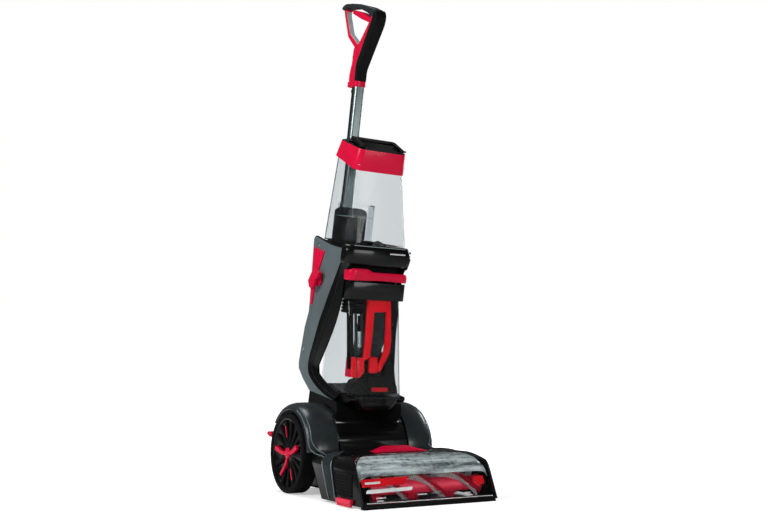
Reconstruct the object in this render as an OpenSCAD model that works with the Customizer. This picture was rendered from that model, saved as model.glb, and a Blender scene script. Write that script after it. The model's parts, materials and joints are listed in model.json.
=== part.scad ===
// Upright carpet washer: a powered foot, a leaning upright that reclines on it,
// two lift-out tanks and a loop handle. Millimetres, +Z up, front towards -Y.
// The origin is on the floor, under the middle of the bounding box.

/* [Overall] */
// Front-to-back size, from the nozzle lip to the pedal tips
depth = 436; // [432:1:440]
// From the wheel axle back to the pedal tips
axle_to_back = 112; // [111:1:113]
// Forward lean of the upright at rest
lean = 12; // [10:1:13]

/* [Wheels] */
// Wheel radius, which is also the axle's height
wheel_r = 82; // [81:0.5:82]
// Width of a wheel
wheel_w = 37.5; // [34:0.5:38]
// From the centre plane to a wheel's outer face
wheel_face = 155.5; // [155:0.5:157]
// Radius of the stub axles
axle_r = 4; // [3:0.5:5]

/* [Foot] */
// Half the width of the foot cover
foot_half = 150; // [149:0.5:151]
// Height of the foot's flat top
foot_top = 92; // [91:0.5:93]
// Wall of the foot cover and of the window
wall = 3; // [2.5:0.25:3]
// Half the width of the clear window
window_half = 146; // [145:0.5:146]
// How far the window's arch reaches back from the crease
arch = 79; // [74:1:80]
// Radius to the tips of the brush bristles
brush_r = 25.5; // [24:0.5:26]
// Height of the brush shafts
brush_z = 31; // [30:0.5:32]

/* [Pivot] */
// Radius of the fixed drum that the upright turns on
drum_r = 96; // [95:0.5:96]
// Outer radius of the moving cowl
cowl_r = 104; // [103:0.5:104]
// Radius of the trunnions at the drum's ends
trunnion_r = 20; // [16:1:22]

/* [Upright] */
// Half the width of the side frames at their outer faces
body_half = 78; // [77:0.5:79]
// Thickness of a side frame's skin
skin = 8; // [7:0.5:9]
// Width of the aluminium pole
pole_w = 24; // [22:1:25]
// Front-to-back depth of the pole
pole_d = 14; // [12:1:14]
// Wall of the pole
pole_wall = 1.5; // [1:0.25:2]

/* [Tanks] */
// Wall of the clear tanks
tank_wall = 2.5; // [2:0.25:3]
// Half the width of the clean tank at its base
clean_half = 70; // [69:0.5:70]
// Half the width of the dirty tank
dirty_half = 66; // [65:0.5:66]
// Slant of the clean tank's collar
collar_slant = 13; // [12:0.5:14]

/* [Hidden] */
$fn = 64;
gap = 0.5;                           // between covers that sit side by side
run = 0.05;                          // radial clearance of a shaft in its bore
axle_y = depth / 2 - axle_to_back;   // all foot places are measured from the axle
nose_y = axle_to_back - depth;       // front lip
crease_y = nose_y + 23;              // top edge of the window's front face
crease_z = 59;
front_brush_y = crease_y + 29;
rear_brush_y = front_brush_y + 57;
motor_y = rear_brush_y + 55;         // brush motor's shaft
motor_z = 62;
motor_r = 20;
belt_out = -136;                     // plane of the motor's belt
belt_in = -128;                      // plane of the belt between the brushes
belt_w = 6;
brush_pulley_r = 11;
motor_pulley_r = 6;
roller_y = -150;
roller_r = 9;
fender_in = 84;                      // fender's inner wall, beside the cowl
pole_y = 138;                        // pole's centre, back from the axle line
rod_y = 168;                         // trigger rod's centre
pole_top = 810;                      // where the pole enters the handle
hook_y = 78;                         // cord hook's pin
hook_z = 362;
latch_y = -40;                       // hinge pins of the dirty tank's handle
latch_z = 376;
shelf_low = 406;
shelf_high = 446;
tank_seat = 449.5;
fascia_half = body_half + 3;         // shelf's front plate, wider than the body
fascia_back = -33.5;

black = [0.07, 0.07, 0.08];
grey = [0.33, 0.38, 0.4];
dark = [0.16, 0.17, 0.18];
red = [0.78, 0.02, 0.08];
clear = [0.8, 0.84, 0.86, 0.35];
metal = [0.66, 0.68, 0.7];

// ---- Shared forms -------------------------------------------------------

// Foot parts: y counts from the axle, z from the floor
module foot() translate([0, axle_y, 0]) children();
// Upright parts: y counts back from the axle, z up along the leaning body
module upright() translate([0, axle_y, wheel_r]) rotate([lean, 0, 0]) children();
// A side outline drawn in (y, z), made w thick across x
module slab(w) rotate([90, 0, 90]) linear_extrude(w, center = true) children();
// The same between two places on the x axis
module slab_between(x0, x1) translate([(x0 + x1) / 2, 0, 0]) slab(x1 - x0) children();
// Children and their mirror image across the centre plane
module both() {
  children();
  mirror([1, 0, 0]) children();
}
// A round bar along x through (y, z)
module bar(r, x0, x1, y, z) translate([x0, y, z]) rotate([0, 90, 0]) cylinder(r = r, h = x1 - x0);
// A box given by its two corners
module block(a, b) translate(a) cube(b - a);
// A rectangle with true arcs at its corners
module rounded(w, d, r) {
  square([w - 2 * r, d], center = true);
  square([w, d - 2 * r], center = true);
  for (sx = [-1, 1], sy = [-1, 1]) translate([sx * (w / 2 - r), sy * (d / 2 - r)]) circle(r);
}
// A profile in (radius, x) swept about the x axis; 0 is the front, 90 the top
module sweep(from, to) rotate([0, 90, 0]) rotate([0, 0, 270 - to])
  rotate_extrude(angle = to - from, $fn = 128) children();

// The foot's outer form, shrunk by g on every face; its base is at height base
module foot_form(g, base) difference() {
  intersection() {
    slab(2 * (foot_half - g)) polygon([
      [-100 - g, foot_top - g], [-126 - g, 58], [-160 - g, base], [nose_y + g, base],
      [crease_y + g, crease_z - g / 3], [-291 + g / 2, 77 - g], [-252, foot_top - g]]);
    translate([0, -150, 0]) rotate([90, 0, 0]) linear_extrude(460, center = true)
      rounded(2 * (foot_half - g), 2 * (foot_top - g), 26 - g);
  }
  bar(107 + g, -200, 200, 0, wheel_r);
}
// Plan of the window: the front strip and the arch behind it
module window_plan(g) {
  translate([-window_half - g, nose_y - 10]) square([2 * (window_half + g), 33.1]);
  polygon([for (a = [0:7.5:180]) [(window_half + g) * cos(a), crease_y + (arch + g) * sin(a)]]);
}

// ---- Foot ---------------------------------------------------------------

module foot_chassis() color(black) foot() difference() {
  union() {
    block([-145, -306, 6], [145, -156, 10]);
    block([-73, -157, 6], [73, 78, 10]);
    block([-120, -295, 9], [-116, -186, 56]);
    block([141, -295, 9], [145.5, -186, 56]);
    block([-116.5, -187, 9], [142, -184, 78]);
    both() block([110, roller_y - 6, 5], [114, roller_y + 6, 18]);
    both() block([90, -157, 6], [118, -140, 10]);
    for (x = [-50, 40]) block([x, motor_y - 14, 9], [x + 20, motor_y + 14, motor_z - 12]);
  }
  block([-115, -296, 0], [140, -190, 12]);
  both() block([91, roller_y - 11, 0], [109, roller_y + 11, 12]);
  block([-140, -262, 0], [-121, -200, 12]);
  for (y = [front_brush_y, rear_brush_y]) bar(3 + run, -160, 160, y, brush_z);
  bar(2.5 + run, -160, 160, roller_y, roller_r);
  bar(motor_r, -60, 80, motor_y, motor_z);
}

module foot_cover() color(black) foot() difference() {
  foot_form(0, 5);
  foot_form(wall, -10);
  translate([0, 0, -1]) linear_extrude(120) window_plan(gap);
  block([-12.5, -206, foot_top - 10], [12.5, -184, foot_top + 5]);
}

module nozzle_frame() color(black) foot() difference() {
  union() {
    slab(2 * window_half) polygon([[nose_y, 0], [nose_y + 14, 0], [nose_y + 14, 6],
      [nose_y + 3.5, 9], [nose_y + 1.5, 9]]);
    for (i = [-6:6]) block([i * 22 - 1.5, nose_y + 13, 2], [i * 22 + 1.5, nose_y + 18, 6]);
  }
  for (i = [-5.5:5.5]) block([i * 24 - 7, nose_y + 5, -1], [i * 24 + 7, nose_y + 10, 4]);
}

module pivot_drum() color(black) foot() difference() {
  union() {
    bar(drum_r, -74, 74, 0, wheel_r);
    bar(trunnion_r, -fender_in, fender_in, 0, wheel_r);
    both() bar(102, fender_in, fender_in + 3, 0, wheel_r);
  }
  bar(drum_r - 4, -71, 71, 0, wheel_r);
  bar(axle_r, -200, 200, 0, wheel_r);
  block([-100, -120, -30], [100, 120, 10]);
}

// Shell over a wheel: flat beside the cowl, then rolled down to a lip near the wheel's face
module fender() color(grey) foot() {
  translate([0, 0, wheel_r]) difference() {
    sweep(4, 158) polygon(concat(
      [[102, fender_in], [105, fender_in], [105, 112]],
      [for (a = [15:15:90]) [91 + 14 * cos(a), 120 + 30 * sin(a)]],
      [for (a = [90:-15:0]) [88 + 14 * cos(a), 120 + 27 * sin(a)]]));
    block([115, 60, 22], [160, 130, 60]);
  }
  pedal_ears();
}
// Ears and pin that carry a pedal at the fender's rear end
module pedal_ears() {
  for (x = [116, 141]) slab_between(x, x + 3)
    polygon([[82, 105], [96, 98], [100, 102], [101, 118], [96, 123], [73, 128]]);
  bar(2, 116, 150, 94, 117);
}
module fender_right() fender();
module fender_left() mirror([1, 0, 0]) fender();

// Grey straps down the foot's sides, each with a pointed tip on the top
module foot_trims() color(grey) foot() intersection() {
  difference() {
    foot_form(-2, 14);
    foot_form(0, -10);
  }
  both() {
    slab_between(136, 160)
      polygon([[-192, 5], [-158, 78], [-160, 120], [-202, 120], [-197, 86], [-224, 5]]);
    translate([0, 0, 80]) linear_extrude(30)
      polygon([[140, -203], [118, -180], [91, -142], [118, -162], [140, -166]]);
  }
}

module side_grilles() color(dark) foot() both() {
  slab_between(foot_half, foot_half + 1.2) polygon([[-286, 18], [-226, 18], [-209, 64], [-286, 60]]);
  for (i = [0:6]) translate([0, 0, 5.4 * i])
    block([foot_half + 1, -284, 20], [foot_half + 2.4, -228 + 2 * i, 22.6]);
}

module edge_brushes() color(red) foot() both() {
  block([foot_half, -289, 8], [foot_half + 8, -234, 15]);
  for (i = [0:9]) block([foot_half + 1.5, -288 + 5.4 * i, 2], [foot_half + 7, -284.4 + 5.4 * i, 8.5]);
}

module wheel_axles() color(metal) foot() both() {
  bar(axle_r, 72, wheel_face - 6, 0, wheel_r);
  bar(axle_r + 2.5, wheel_face - 8, wheel_face - 5, 0, wheel_r);
}

module brush_motor() color(metal) foot() difference() {
  union() {
    bar(motor_r - 0.1, -48, 66, motor_y, motor_z);
    bar(9, -56, -47, motor_y, motor_z);
  }
  bar(3 + run, -60, -30, motor_y, motor_z);
}

// A belt around two pulleys in one plane
module belt(x, a, ra, b, rb) slab_between(x, x + belt_w) difference() {
  hull() {
    translate(a) circle(ra + 1.8);
    translate(b) circle(rb + 1.8);
  }
  hull() {
    translate(a) circle(ra + 0.3);
    translate(b) circle(rb + 0.3);
  }
}
module drive_belts() color(dark) foot() {
  belt(belt_out, [motor_y, motor_z], motor_pulley_r, [rear_brush_y, brush_z], brush_pulley_r);
  belt(belt_in, [rear_brush_y, brush_z], brush_pulley_r, [front_brush_y, brush_z], brush_pulley_r);
}
// A flanged pulley in one belt's plane
module pulley(x, r, y, z) {
  bar(r, x - 0.8, x + belt_w + 0.8, y, z);
}
module motor_pulley() color(metal) foot() {
  bar(3, belt_out - 2, -32, motor_y, motor_z);
  pulley(belt_out, motor_pulley_r, motor_y, motor_z);
}

module suction_motor() color(metal) foot() difference() {
  union() {
    bar(46, -60, 4, 0, wheel_r);
    bar(drum_r - 4, -4, 0, 0, wheel_r);
    bar(12, 3, 12, 0, wheel_r);
  }
  bar(3 + run, -20, 20, 0, wheel_r);
  block([-100, -120, -30], [100, 120, 10]);
}
module fan_impeller() color(metal) foot() {
  bar(3, -18, 34, 0, wheel_r);
  bar(60, 16, 18, 0, wheel_r);
  bar(10, 16, 34, 0, wheel_r);
  for (a = [0:30:330]) translate([16, 0, wheel_r]) rotate([a, 0, 0]) block([0, 9, -1], [14, 58, 1]);
}

module spray_bar() color(dark) foot() {
  bar(3.5, -110, 135, -240, 68);
  for (x = [-75, -15, 45, 105]) translate([x, -240, 62]) cylinder(r1 = 2, r2 = 4, h = 6);
  for (x = [-40, 70]) slab_between(x, x + 4) polygon([[-243, 66], [-187, 66], [-187, 74], [-243, 71]]);
}

module foot_screws() color(metal) foot() for (x = [-132, 132], y = [-178, -301])
  translate([x, y, 4]) difference() {
    cylinder(r = 4, h = 2);
    translate([0, 0, -0.1]) block([-2.5, -0.6, 0], [2.5, 0.6, 1]);
  }

// ---- Wheels -------------------------------------------------------------

module wheel_place() translate([wheel_face - wheel_w, axle_y, wheel_r]) rotate([0, 90, 0]) children();
module wheel_tyre() color(black) wheel_place() rotate_extrude($fn = 128)
  polygon([[72, 0], [80, 0], [wheel_r, 3], [wheel_r, wheel_w - 4], [81, wheel_w - 1.5], [78, wheel_w],
    [72, wheel_w]]);
module wheel_hub() color(dark) wheel_place() difference() {
  union() {
    difference() {
      cylinder(r = 72, h = wheel_w - 3, $fn = 128);
      translate([0, 0, 5]) cylinder(r = 68, h = wheel_w, $fn = 128);
    }
    cylinder(r = 13, h = wheel_w - 9.5);
    for (a = [15:30:345]) rotate([0, 0, a]) block([10, -4, 4], [69, 4, wheel_w - 6]);
  }
  translate([0, 0, -1]) cylinder(r = axle_r + run, h = wheel_w);
}
module wheel_insert() color(red) wheel_place() difference() {
  translate([0, 0, wheel_w - 6]) union() {
    cylinder(r = 12, h = 5);
    for (arm = [[44, 58], [98, 64], [252, 50]]) rotate([0, 0, arm[0]])
      linear_extrude(4) polygon([[8, -4.5], [30, -6], [arm[1], -6], [arm[1] + 2, 5], [30, 4], [8, 4.5]]);
    for (a = [166, 339]) rotate([0, 0, a])
      linear_extrude(2) polygon([[8, -2], [58, -3.5], [58, 3.5], [8, 2]]);
  }
  translate([0, 0, wheel_w - 7]) cylinder(r = axle_r + 4, h = 5);
}
module wheel_right_tyre() wheel_tyre();
module wheel_right_hub() wheel_hub();
module wheel_right_insert() wheel_insert();
module wheel_left_tyre() mirror([1, 0, 0]) wheel_tyre();
module wheel_left_hub() mirror([1, 0, 0]) wheel_hub();
module wheel_left_insert() mirror([1, 0, 0]) wheel_insert();

// ---- Brushes, window, latch, pedals, rollers ----------------------------

// A shaft, its drive pulleys, and a core with two helical rows of bristle
module brush(y, pulleys) color(red) foot() {
  bar(3, belt_out - 3, 147, y, brush_z);
  for (x = pulleys) pulley(x, brush_pulley_r, y, brush_z);
  translate([-112, y, brush_z]) rotate([0, 90, 0]) linear_extrude(250, twist = 540, slices = 60) {
    circle(15, $fn = 16);
    square([2 * brush_r, 7], center = true);
  }
}
module front_brush() brush(front_brush_y, [belt_in]);
module rear_brush() brush(rear_brush_y, [belt_in, belt_out]);

module nozzle_window() color(clear) foot() intersection() {
  difference() {
    foot_form(0, 9.5);
    foot_form(wall, -10);
  }
  translate([0, 0, 9.5]) linear_extrude(100) window_plan(0);
}

module nozzle_latch() color(red) foot() {
  translate([0, -176, 0]) rotate([90, 0, 0]) linear_extrude(36) polygon([
    [-63, foot_top + gap], [63, foot_top + gap], [48, foot_top + 7], [32, foot_top + 11],
    [-32, foot_top + 11], [-48, foot_top + 7]]);
  block([-12, -204, foot_top - 8], [12, -196, foot_top + 1]);
}

module pedal() color(red) foot() difference() {
  union() {
    for (x = [[120, 140.4], [144.6, 149.5]]) slab_between(x[0], x[1])
      polygon([[88, 112], [100, 112], [112, 118], [112, 122], [98, 122.5], [88, 122]]);
    slab_between(130, 149.5) polygon([[103.5, 113.6], [112, 118], [112, 122], [103.5, 122.3]]);
    for (i = [0:4]) block([121.5 + 6 * i, 103.5, 121], [124 + 6 * i, 110.5, 123.2]);
  }
  bar(2 + run, 100, 160, 94, 117);
}
module recline_pedal() pedal();
module power_pedal() mirror([1, 0, 0]) pedal();

module front_rollers() color(dark) foot() {
  bar(2.5, -115, 115, roller_y, roller_r);
  both() bar(roller_r, 92, 108, roller_y, roller_r);
}

// ---- Upright ------------------------------------------------------------

// Moving drum cover with its bearing cheeks, and the neck that rises from it
module cowl() color(black) upright() difference() {
  union() {
    sweep(17, 177) polygon([[98, -80], [cowl_r, -80], [cowl_r, 80], [98, 80]]);
    both() {
      sweep(17, 177) polygon([[0, 75.5], [99, 75.5], [99, 80], [0, 80]]);
      bar(trunnion_r + 14, 75.5, 80, 0, 0);
    }
    slab(2 * body_half)
      polygon([[-60, 80], [-61, 106], [-55, 121.4], [60, 116.5], [74, 116.5], [76, 72]]);
  }
  bar(98, -75.5, 75.5, 0, 0);
  bar(trunnion_r + run, -100, 100, 0, 0);
  translate([0, 10, 80]) cylinder(r = 18, h = 60);
}

// Outline of a grey side frame, rear edge first, then the edge along the black band
rear_edge = [
  [131, 459], [120, 311], [119, 286], [132, 249], [144, 168], [141, 154], [115, 136], [77, 117]];
band_edge = [[0, 126], [42, 142], [83, 163], [89, 190], [61, 278], [24, 346], [-1, 395], [-13, 408]];
top_edge = [[-33, 439], [40, 441], [90, 445], [102, 459]];
module side_frame() color(grey) upright() {
  slab_between(body_half - skin, body_half)
    polygon(concat(rear_edge, [[3, 119.5]], band_edge, [[-33, 424]], top_edge));
  slab_between(body_half - 26, body_half - skin)
    polygon([[126, shelf_low - 1], [118, 311], [117, 286], [130, 249], [141, 168], [112, 140], [80, 122],
      [76, 130], [90, 170], [92, 190], [84, 295], [84, shelf_low - 1]]);
}
module side_frame_right() side_frame();
// The left frame carries the pin of the cord hook
module side_frame_left() {
  mirror([1, 0, 0]) side_frame();
  color(grey) upright() bar(3, -body_half - 12, -body_half, hook_y, hook_z);
}

// Black bands at both sides of the dirty tank, and the tray with its toe below it
module tank_surround() color(black) upright() difference() {
  union() {
    both() slab_between(dirty_half + 1, body_half - 1)
      polygon(concat([for (p = band_edge) if (p[1] < 400) p],
        [[-10.8, 405], [-35, 405], [-35, 394], [-19, 335],
          [4, 271], [43, 193], [35, 170], [-41, 140], [-56, 130], [-56, 122]]));
    slab(2 * (dirty_half + 1.1)) polygon([[-84, 126], [-88, 137.5], [60, 137.5], [60, 117], [-56, 122]]);
    toe();
  }
  translate([0, 10, 80]) cylinder(r = 18, h = 80);
}
module toe() hull() {
  translate([0, -70, 133]) linear_extrude(4.5) rounded(114, 40, 14);
  translate([0, -76, 108]) linear_extrude(2) rounded(72, 26, 10);
}

// Shelf under the clean tank: a hollow tray, a deep front plate and a housing over the dirty tank
module shelf_plan(g) {
  translate([0, 46]) square([2 * (body_half - skin - g), 160 - 2 * g], center = true);
  translate([0, 126]) rounded(68 - 2 * g, 100 - 2 * g, 14 - g);
}
module fascia_plan() {
  translate([0, fascia_back]) difference() {
    rounded(2 * fascia_half, 15, 7.4);
    translate([0, 10]) square([200, 20], center = true);
  }
  translate([0, -24]) square([2 * (body_half - skin - gap), 21], center = true);
}
module shelf_band() color(black) upright() difference() {
  union() {
    translate([0, 0, shelf_low]) linear_extrude(shelf_high - shelf_low) {
      shelf_plan(0);
      fascia_plan();
    }
    both() slab_between(66, body_half) polygon([[fascia_back - 1, shelf_low], [-11, shelf_low],
      [-13, shelf_low + 1.4], [fascia_back - 1, 423.5]]);
    slab(120) polygon([[-12, shelf_low + 1], [-12, 374], [54, 374], [54, shelf_low + 1]]);
  }
  translate([0, 0, shelf_low + 3]) linear_extrude(shelf_high) shelf_plan(3);
  block([-57, -9, 370], [57, 51, shelf_low]);
  translate([20, 170, shelf_low + 15]) rotate([-90, 0, 0]) cylinder(r = 8, h = 20);
  pole_outline(0.1, shelf_low - 1, shelf_high);
}
module shelf_deck() color(black) upright() difference() {
  union() {
    translate([0, 0, shelf_high]) linear_extrude(3) {
      shelf_plan(0);
      fascia_plan();
    }
    both() slab_between(body_half - skin + gap, body_half)
      polygon([[fascia_back, 439.5], [40, 441.5], [89, 445.8], [89, 449], [fascia_back, 449]]);
  }
  translate([0, 20, shelf_high - 1]) cylinder(r = 12, h = 6);
  translate([0, 116, shelf_high - 1]) linear_extrude(6) rounded(64.2, 64.2, 18);
  translate([0, rod_y, shelf_high - 1]) cylinder(r = 7.1, h = 6);
}
module pole_outline(g, low, high) translate([0, pole_y, low]) linear_extrude(high - low)
  rounded(pole_w + 2 * g, pole_d + 2 * g, 6 + g);
module handle_pole() color(metal) upright() difference() {
  pole_outline(0, shelf_low + 3, pole_top);
  pole_outline(-pole_wall, shelf_low, pole_top + 1);
}

// Domed socket that grips the pole, with a boss that guides the trigger rod
module pole_socket() color(black) upright() difference() {
  union() {
    intersection() {
      translate([0, 116, shelf_high - 20]) linear_extrude(120) rounded(64, 64, 18);
      translate([0, 116, 0]) slab(80) translate([0, 475]) rounded(64, 98, 24);
      rotate([90, 0, 0]) translate([0, 475, -150]) linear_extrude(120) rounded(64, 98, 20);
    }
    translate([0, rod_y, shelf_high - 8]) cylinder(r = 7, h = 44);
    block([-4, 146, shelf_high + 3.5], [4, rod_y - 4, shelf_high + 30]);
  }
  block([-40, 60, 400], [40, 200, shelf_high]);
  pole_outline(0.1, 400, 560);
  translate([0, rod_y, 400]) cylinder(r = 2.5 + run, h = 100);
}

module water_pump() color(dark) upright() {
  block([-58, 62, shelf_low + 3], [-24, 100, shelf_low + 30]);
  translate([-41, 54, shelf_low + 16]) rotate([-90, 0, 0]) cylinder(r = 10, h = 9);
}

module side_trim() color(red) upright() slab_between(-body_half - 2.2, -body_half)
  polygon([[68, 424], [122, 430], [112, 303], [104, 303], [98, 345], [84, 388]]);

module cord_gland() color(dark) upright() translate([20, 173, shelf_low + 15]) rotate([-90, 0, 0])
  difference() {
    union() {
      cylinder(r = 8, h = 4);
      translate([0, 0, 3]) cylinder(r1 = 10, r2 = 8, h = 6);
    }
    translate([0, 0, -1]) cylinder(r = 4, h = 12);
  }

// Handle loop: a soft front grip, a grey frame over the top and a red inner shell
seam = [[140, pole_top], [140, 848], [122, 880], [108, 905], [85, 946], [84, 958], [76, 964]];
module handle_grip() color(black) upright() slab(27) polygon(concat(seam,
  [[70, 957], [67, 946], [70, 930], [96, 890], [125, 845], [131, 836], [131, pole_top]]));
module handle_frame() color(dark) upright() {
  slab(24) polygon(concat(seam, [[149, 984], [225, 995], [240, 986], [236, 977], [222, 984], [180, 980],
    [149, 973], [110, 958], [98, 950], [112, 907], [126, 882], [144, 850], [144, pole_top]]));
  both() {
    slab_between(8.5, 11.5) polygon([[178, 981], [192, 983], [192, 968], [182, 966]]);
    slab_between(8.5, 12)
      polygon([[99, 948], [112, 960], [149, 974], [184, 981], [182, 970], [150, 963], [104, 944]]);
  }
  bar(2, -11, 11, 187, 972);
}
module handle_inner() color(red) upright() difference() {
  union() {
    slab(22) polygon([[144, pole_top], [144, 850], [126, 882], [112, 907], [98, 950], [105, 937],
      [142, 894], [160, 899], [167, 884], [167, 853], [174, 828], [174, pole_top]]);
    slab(14) polygon([
      [158, 896], [203, 925], [228, 971], [222, 984], [236, 977], [236, 966], [211, 917], [164, 882]]);
    translate([0, 152.5, pole_top - 12]) linear_extrude(12) rounded(28, 47, 8);
  }
  pole_outline(0, pole_top - 20, pole_top);
  translate([0, rod_y, pole_top - 20]) cylinder(r = 2.5 + run, h = 45);
  block([-7.2, 157, 855], [7.2, 180, 878]);
}

module upright_screws() color(metal) upright() both() for (p = [[100, 437], [128, 200], [-24, 431]])
  bar(3.5, body_half, body_half + 1.2, p[0], p[1]);

// Swivelling hook that holds a wound cord, on the left side frame
module cord_hook() color(red) upright() difference() {
  union() {
    bar(15, -body_half - 6, -body_half - 2.5, hook_y, hook_z);
    bar(7, -body_half - 10, -body_half - 5, hook_y, hook_z);
    slab_between(-body_half - 17, -body_half - 9) polygon([[96, 343], [104, 356], [90, 376], [72, 384],
      [54, 378], [60, 366], [70, 362], [72, 350], [84, 339]]);
  }
  bar(3 + run, -body_half - 12.3, 0, hook_y, hook_z);
}

module trigger() color(red) upright() difference() {
  slab(15) polygon([[107, 938], [108, 949.5], [128, 959], [150, 967.5], [183, 976], [191, 976],
    [194, 970], [150, 952]]);
  bar(2 + run, -20, 20, 187, 972);
}
module trigger_rod() color(dark) upright() translate([0, rod_y, 0]) {
  translate([0, 0, shelf_high + 12]) cylinder(r = 2.5, h = pole_top + 17 - shelf_high - 12);
  translate([0, 0, pole_top - 23]) cylinder(r = 4, h = 7);
}
module handle_button() color(red) upright() slab(14) polygon([
  [160, 857], [168, 857], [173, 862], [174, 870], [169, 876], [160, 876]]);

// ---- Clean tank ---------------------------------------------------------

// Tapered body, shrunk by g, cut at the collar's slant
module clean_body(g) difference() {
  hull() {
    translate([0, 38, tank_seat + g]) linear_extrude(1)
      rounded(2 * (clean_half - g), 140 - 2 * g, 18 - g, $fn = 32);
    translate([0, 57, 665]) linear_extrude(1)
      rounded(2 * (57 - g), 90 - 2 * g, 16 - g, $fn = 32);
  }
  block([-37 - g, 80 - g, 440], [37 + g, 200, 531 + g]);
}
// The collar's own frame: its lower front edge, tilted up to the rear
module at_collar() translate([0, -4, 608]) rotate([collar_slant, 0, 0]) children();
module clean_tank_shell() color(clear) upright() difference() {
  clean_body(0);
  difference() {
    clean_body(tank_wall);
    block([-100, -100, 440], [100, 200, tank_seat + tank_wall]);
  }
  at_collar() block([-90, -40, 8], [90, 200, 120]);
  translate([0, 20, 440]) cylinder(r = 9, h = 20);
}
module clean_tank_collar() color(red) upright() at_collar() difference() {
  hull() {
    rotate([5, 0, 0]) translate([0, 57, -4]) linear_extrude(1) rounded(126, 114, 17, $fn = 32);
    translate([0, 56, 40]) linear_extrude(1) rounded(117, 104, 15, $fn = 32);
  }
  translate([0, 56.5, -6]) linear_extrude(14) rounded(122, 110, 14.5, $fn = 32);
  translate([0, 56.5, 7]) linear_extrude(40) rounded(108, 94, 12, $fn = 32);
}
// Cap that closes the collar, with a ramp between the folded handle's arms
module clean_tank_cap() color(black) upright() at_collar() difference() {
  union() {
    translate([0, 56.5, 30]) linear_extrude(11.5) rounded(107.6, 93.6, 11.8);
    hull() {
      translate([0, 56, 41]) linear_extrude(1.5) rounded(116, 103, 15, $fn = 32);
      translate([0, 84, 49]) linear_extrude(1) rounded(70, 22, 10, $fn = 32);
    }
    slab(84) polygon([[9, 42], [38, 52], [40, 52], [40, 42]]);
  }
  block([-56, 40, 42.5], [56, 72, 60]);
  both() block([42, 8, 42.5], [56, 41, 60]);
  block([-30, 40, 34], [30, 56, 60]);
  bar(2, -60, 60, 15, 46.5);
}
module clean_tank_handle() color(black) upright() at_collar() {
  both() slab_between(44, 52)
    polygon([[15, 43.4], [19, 43.8], [69, 49], [69, 57], [56, 57], [15, 49.6]]);
  both() bar(3.1, 44, 52, 15, 46.5);
  block([-46, 57, 48], [46, 69, 57]);
  both() bar(2 - run, 46, 58, 15, 46.5);
}
module clean_tank_valve() color(black) upright() translate([0, 20, tank_seat - 5]) difference() {
  union() {
    cylinder(r = 9, h = 12);
    translate([0, 0, 7.5]) cylinder(r = 12, h = 4);
  }
  translate([0, 0, -1]) cylinder(r = 3.5, h = 8);
}

// ---- Dirty tank ---------------------------------------------------------

// Body with round front corners, shrunk by g
module dirty_body(g) intersection() {
  slab(2 * (dirty_half - g)) polygon([[-60, 336], [-110, 336], [-110, 138 + g], [28, 138 + g],
    [48 - g, 158], [48 - g, 336]]);
  translate([0, -42 + g, 335]) rotate([-13, 0, 0]) translate([0, 100, -120])
    linear_extrude(400, center = true) rounded(2 * (dirty_half - g), 200, 26 - g);
}
module dirty_tank_shell() color(clear) upright() difference() {
  dirty_body(0);
  dirty_body(tank_wall);
  block([-100, -150, 335], [100, 100, 400]);
}
module dirty_tank_lid() color(black) upright() {
  difference() {
    slab(2 * dirty_half) polygon([[-30, 335], [-30, 371], [40, 371], [48, 360], [48, 335]]);
    block([-30, -10, 350], [30, 30, 400]);
  }
  both() {
    bar(2.9, 40.5, 45.5, latch_y, latch_z);
    block([40.5, latch_y - 2, 370], [45.5, latch_y + 2, latch_z]);
    bar(2 - run, 34, 52, latch_y, latch_z);
  }
  translate([0, -20, 335]) linear_extrude(36) difference() {
    rounded(146, 46, 18);
    translate([0, 15]) square([200, 50], center = true);
  }
}
// Dark stack that carries the dirty water in and lets the air out
module separator() color(dark) upright() {
  block([-17, -18, 142], [17, 14, 334]);
  for (i = [0:3]) translate([-32, 0, 303 + 8 * i]) cylinder(r = 24, h = 5);
  translate([-32, 0, 300]) cylinder(r = 20, h = 35);
  translate([-32, -22, 142]) cylinder(r = 6, h = 165);
}
module float_cage() color(red) upright() translate([0, -42, 335]) rotate([-13, 0, 0]) difference() {
  block([-29, 6, -182], [29, 14, -4]);
  block([-18, 0, -180], [18, 20, -38]);
  block([-40, 0, -200], [-18, 20, -140]);
}
module float() color(red) upright() translate([-32, -22, 168]) difference() {
  cylinder(r = 14, h = 40);
  translate([0, 0, -1]) cylinder(r = 6.3, h = 42);
}
// Latching carry handle across the tank's top front
module dirty_tank_handle() color(red) upright() difference() {
  translate([0, -24, 373]) linear_extrude(27) difference() {
    rounded(150, 44, 14);
    translate([0, 12]) square([200, 50], center = true);
  }
  bar(2, -60, 60, latch_y, latch_z);
  both() block([40, -43.6, 370], [46, -30, 380]);
}

foot_chassis();
foot_cover();
pivot_drum();
nozzle_frame();
fender_left();
fender_right();
foot_trims();
side_grilles();
edge_brushes();
wheel_axles();
brush_motor();
drive_belts();
suction_motor();
spray_bar();
foot_screws();
wheel_left_tyre();
wheel_left_hub();
wheel_left_insert();
wheel_right_tyre();
wheel_right_hub();
wheel_right_insert();
front_brush();
rear_brush();
motor_pulley();
nozzle_window();
nozzle_latch();
power_pedal();
recline_pedal();
front_rollers();
fan_impeller();
cowl();
side_frame_left();
side_frame_right();
tank_surround();
shelf_band();
shelf_deck();
pole_socket();
water_pump();
side_trim();
cord_gland();
handle_pole();
handle_grip();
handle_frame();
handle_inner();
upright_screws();
cord_hook();
trigger();
trigger_rod();
handle_button();
clean_tank_shell();
clean_tank_collar();
clean_tank_cap();
clean_tank_valve();
clean_tank_handle();
dirty_tank_shell();
dirty_tank_lid();
separator();
float_cage();
float();
dirty_tank_handle();
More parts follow.
